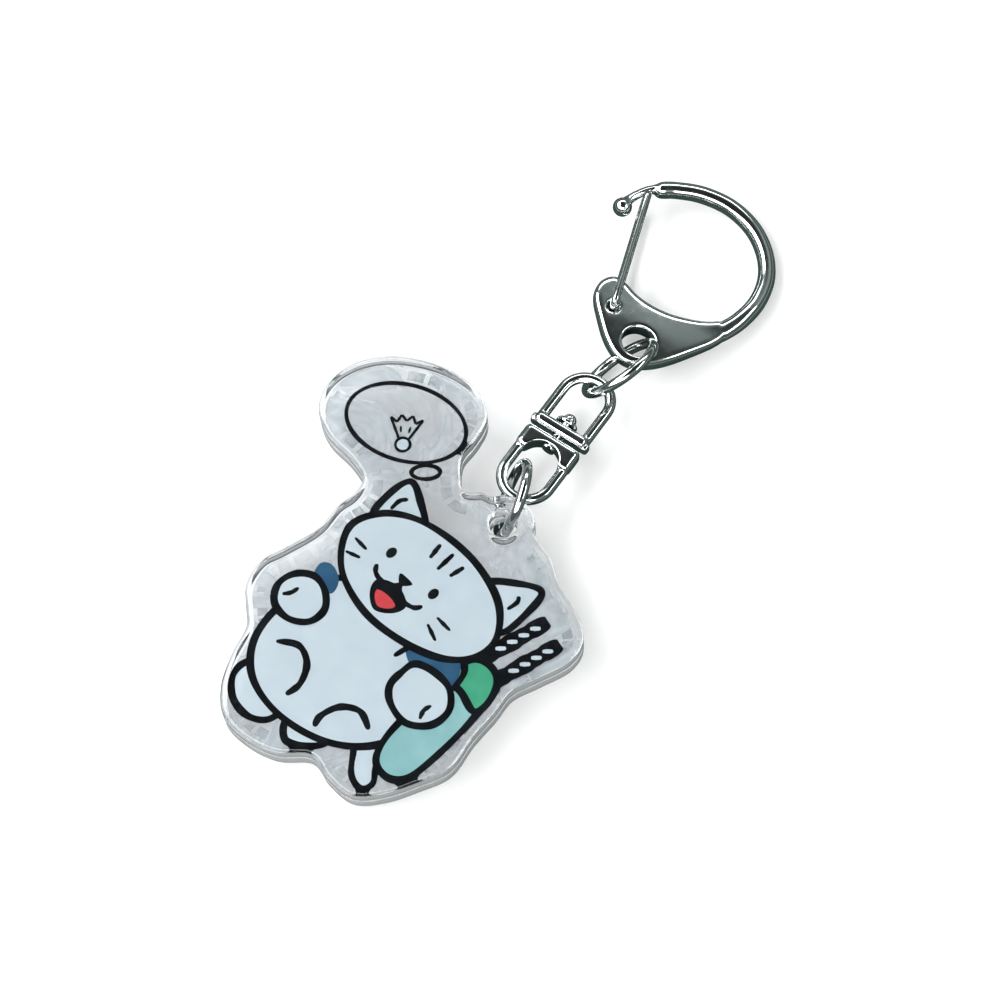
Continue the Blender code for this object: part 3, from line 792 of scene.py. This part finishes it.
plate_profile = lip(0.8, 0.75, -PLATE_HALF, -1, 6) + lip(0.8, 0.75, PLATE_HALF, 1, 6)
EYE = circle((0.5, -0.2), 1.9, 48)
PIVOT = (-4.25, 2.25)
PIVOT_HOLE = circle(PIVOT, 0.66, 32)
plate_points, plate_faces = plate_mesh(PLATE_OUTLINE, [EYE, PIVOT_HOLE], plate_profile, 0.3)
plate = bpy.data.meshes.new("plate")
plate.from_pydata(plate_points, [], plate_faces)
# the arm's middle line, and its thickness along it as a share of ARM_RADIUS
ARM_POINTS = [
    (6.7, 4.4, 0.9), (7.5, 5.8, 1.04), (8.3, 7.2, 1.10), (9.3, 9.6, 1.05), (9.85, 12.9, 1.0),
    (9.3, 16.4, 1.0), (7.5, 19.4, 1.0), (4.6, 21.7, 1.0), (1.0, 22.75, 1.0), (-2.7, 22.4, 1.0),
    (-5.7, 21.15, 0.98), (-7.3, 20.1, 0.95), (-8.0, 19.75, 0.56), (-8.7, 19.05, 0.52), (-9.5, 17.7, 0.52),
    (-10.0, 16.3, 0.62), (-10.05, 15.6, 0.75),
]
arm_line = smooth_line(ARM_POINTS, 8, False)
clasp_look = plated("clasp_nickel", (0.78, 0.80, 0.81), 0.10)
ARM_RADIUS = 1.08
arm = swept("arm", [(point.x, point.y, 0.0) for point in arm_line], ARM_RADIUS, clasp_look,
            [point.z for point in arm_line])


def ball(centre, radius):
    mesh = bpy.data.meshes.new("ball")
    work = bmesh.new()
    bmesh.ops.create_uvsphere(work, u_segments=40, v_segments=24, radius=radius)
    bmesh.ops.translate(work, verts=work.verts, vec=centre)
    work.to_mesh(mesh)
    work.free()
    return mesh


CLASP_GRAIN = 0.11
CLASP_SOFTEN = 20
TIP_BALL = (-10.05, 15.4, 0.0)
TIP_RADIUS = 1.2
clasp_mesh = cast("clasp_casting", [plate, arm, ball(TIP_BALL, TIP_RADIUS)], [], CLASP_GRAIN, CLASP_SOFTEN)
# the plate is crowned: highest in its middle, thinner to its rim, and back to round where the arm begins
CROWN_MIDDLE = (0.6, 1.2)
CROWN_REACH = 8.0
CROWN_NARROW = 1.35
CROWN_FALL = 0.50
CROWN_END = 12.0
CROWN_FADE = 7.0
for corner in clasp_mesh.vertices:
    sideways = corner.co.x - CROWN_MIDDLE[0]
    lengthways = (corner.co.y - CROWN_MIDDLE[1]) * CROWN_NARROW
    out = math.hypot(sideways, lengthways) / CROWN_REACH
    fade = max(0.0, min(1.0, (CROWN_END - corner.co.y) / CROWN_FADE))
    corner.co.z *= 1.0 - CROWN_FALL * out * out / (1 + out * out) * fade * fade * (3 - 2 * fade)
clasp = settle("clasp_casting", clasp_mesh, CLASP, clasp_look, "clasp", sharp=80)
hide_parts("clasp_hook")

# ---------------------------------------------------------------------------------------------------
# Gate: one length of spring wire bent to a narrow loop. Both ends turn in the plate's pivot hole, the
# closed end rests inside the hook's neck, and a push inward opens it.
# ---------------------------------------------------------------------------------------------------
GATE_WIRE = 0.5
GATE_LEG = 2.0
GATE_LONG = 16.0
GATE_BEND = 0.7
GATE_TURN = 14.0


def bent(centre, radius, start, end, steps=8):
    turns = [math.radians(start + (end - start) * i / steps) for i in range(steps + 1)]
    return [(centre[0] + radius * math.cos(turn), centre[1] + radius * math.sin(turn)) for turn in turns]


gate_half = [(0.0, 0.35), (0.0, 0.8)] + bent((GATE_BEND, GATE_LEG - GATE_BEND), GATE_BEND, 180, 90)
gate_half += [(GATE_LONG * share, GATE_LEG) for share in (0.2, 0.4, 0.6, 0.8)]
gate_half += bent((GATE_LONG - GATE_BEND, GATE_LEG - GATE_BEND), GATE_BEND, 90, 0)
gate_path = gate_half + [(along, -height) for along, height in reversed(gate_half)]
gate_look = plated("gate_nickel", (0.79, 0.81, 0.81), 0.04)
gate_place = CLASP @ Matrix.Translation((*PIVOT, 0)) @ Matrix.Rotation(math.radians(GATE_TURN), 4, "Z")
gate_mesh = swept("gate", [(0.0, along, height) for along, height in gate_path], GATE_WIRE, gate_look,
                  sides=20)
gate = settle("gate", gate_mesh, gate_place, gate_look, "gate")
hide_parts("clasp_gate_wire")

# ---------------------------------------------------------------------------------------------------
# The table, the light and the camera: a white table under soft studio panels, seen from in front and
# well above.
# ---------------------------------------------------------------------------------------------------
scene = bpy.context.scene
table_look, table_shader = new_look("white_table")
table_nodes = table_look.node_tree.nodes
table_links = table_look.node_tree.links
grain = coloured(table_look, noise(table_look, 60.0, 2.0), 0.0, 1.0, (0.60,) * 3, (0.63,) * 3)
table_links.new(grain, table_shader.inputs["Base Color"])
table_shader.inputs["Roughness"].default_value = 0.9
table_shader.inputs["Specular IOR Level"].default_value = 0.1
table_shader.inputs["Emission Color"].default_value = (1.0, 1.0, 1.0, 1.0)
table_shader.inputs["Emission Strength"].default_value = 0.40
# painted reflection: bright metal mirrors a dark green table, not the white one; clear plastic shows it as it
# is
ray = table_nodes.new("ShaderNodeLightPath")
painted_reflection_rays = math_node(table_look, "SUBTRACT", ray.outputs["Is Glossy Ray"], ray.outputs["Is Transmission Ray"])
painted_reflection_rays.use_clamp = True
painted_reflection_dark = table_nodes.new("ShaderNodeBsdfDiffuse")
painted_reflection_dark.inputs["Color"].default_value = (0.040, 0.062, 0.052, 1.0)
choose = table_nodes.new("ShaderNodeMixShader")
table_links.new(painted_reflection_rays.outputs["Value"], choose.inputs["Fac"])
table_links.new(table_shader.outputs["BSDF"], choose.inputs[1])
table_links.new(painted_reflection_dark.outputs["BSDF"], choose.inputs[2])
table_links.new(choose.outputs["Shader"], table_nodes["Material Output"].inputs["Surface"])

table_mesh = bpy.data.meshes.new("table")
TABLE_HALF = 1.5
TABLE_TOP = -0.0002
table_mesh.from_pydata([(x * TABLE_HALF, y * TABLE_HALF, TABLE_TOP)
                        for x, y in ((-1, -1), (1, -1), (1, 1), (-1, 1))], [], [(0, 1, 2, 3)])
table_mesh.materials.append(table_look)
table = bpy.data.objects.new("table", table_mesh)
scene.collection.objects.link(table)

# each panel's name, where it stands, its width and height in metres, its power in watts and its colour
PANELS = (
    ("left_panel", (-0.42, 0.06, 0.50), 0.90, 0.34, 6.6, (0.97, 0.99, 1.0)),
    ("right_strip", (0.45, -0.05, 0.46), 0.40, 0.07, 0.7, (0.93, 1.0, 0.95)),
    ("front_panel", (-0.12, -0.42, 0.50), 0.70, 0.28, 2.6, (1.0, 1.0, 1.0)),
    ("back_strip", (0.05, 0.50, 0.42), 0.50, 0.12, 0.7, (0.98, 1.0, 0.99)),
)
for name, stand, width, height, power, colour in PANELS:
    light = bpy.data.lights.new(name, "AREA")
    light.shape = "RECTANGLE"
    light.size = width
    light.size_y = height
    light.energy = power
    light.color = colour
    lamp = bpy.data.objects.new(name, light)
    scene.collection.objects.link(lamp)
    lamp.location = stand
    lamp.rotation_euler = (-Vector(stand)).to_track_quat("-Z", "Y").to_euler()

# the room round the table, as (height, brightness) from the horizon to straight overhead: bright low down,
# a wide dark band above that, a soft bright band at two thirds and a dark ceiling
SKY_STOPS = ((0.0, 0.42), (0.08, 0.30), (0.20, 0.08), (0.50, 0.10), (0.64, 0.34), (0.76, 0.26), (0.86, 0.05),
             (1.0, 0.02))
SKY_TINT = (0.88, 1.04, 1.0)
world = bpy.data.worlds.new("studio")
scene.world = world
world.use_nodes = True
sky_nodes = world.node_tree.nodes
sky_links = world.node_tree.links
backdrop = sky_nodes["Background"]
facing = sky_nodes.new("ShaderNodeTexCoord")
split = sky_nodes.new("ShaderNodeSeparateXYZ")
sky_links.new(facing.outputs["Generated"], split.inputs["Vector"])
rise = sky_nodes.new("ShaderNodeValToRGB")
rise.color_ramp.interpolation = "EASE"
for end, (position, level) in zip(rise.color_ramp.elements, (SKY_STOPS[0], SKY_STOPS[-1])):
    end.position = position
    end.color = (level, level, level, 1.0)
for position, level in SKY_STOPS[1:-1]:
    stop = rise.color_ramp.elements.new(position)
    stop.color = (*(level * tint for tint in SKY_TINT), 1.0)
sky_links.new(split.outputs["Z"], rise.inputs["Fac"])
sky_links.new(rise.outputs["Color"], backdrop.inputs["Color"])
backdrop.inputs["Strength"].default_value = 1.0

camera_data = bpy.data.cameras.new("camera")
camera_data.lens = 110
camera_data.sensor_width = 36
camera = bpy.data.objects.new("camera", camera_data)
scene.collection.objects.link(camera)
CAMERA_HEIGHT = math.radians(65)
CAMERA_REACH = 0.35174
CAMERA_AIM = Vector((-0.00155, -0.00112, 0.00013))
towards_camera = Vector((0, -math.cos(CAMERA_HEIGHT), math.sin(CAMERA_HEIGHT)))
camera.location = CAMERA_AIM + CAMERA_REACH * towards_camera
camera.rotation_euler = (math.radians(90) - CAMERA_HEIGHT, 0, 0)
scene.camera = camera
scene.view_settings.view_transform = "Standard"
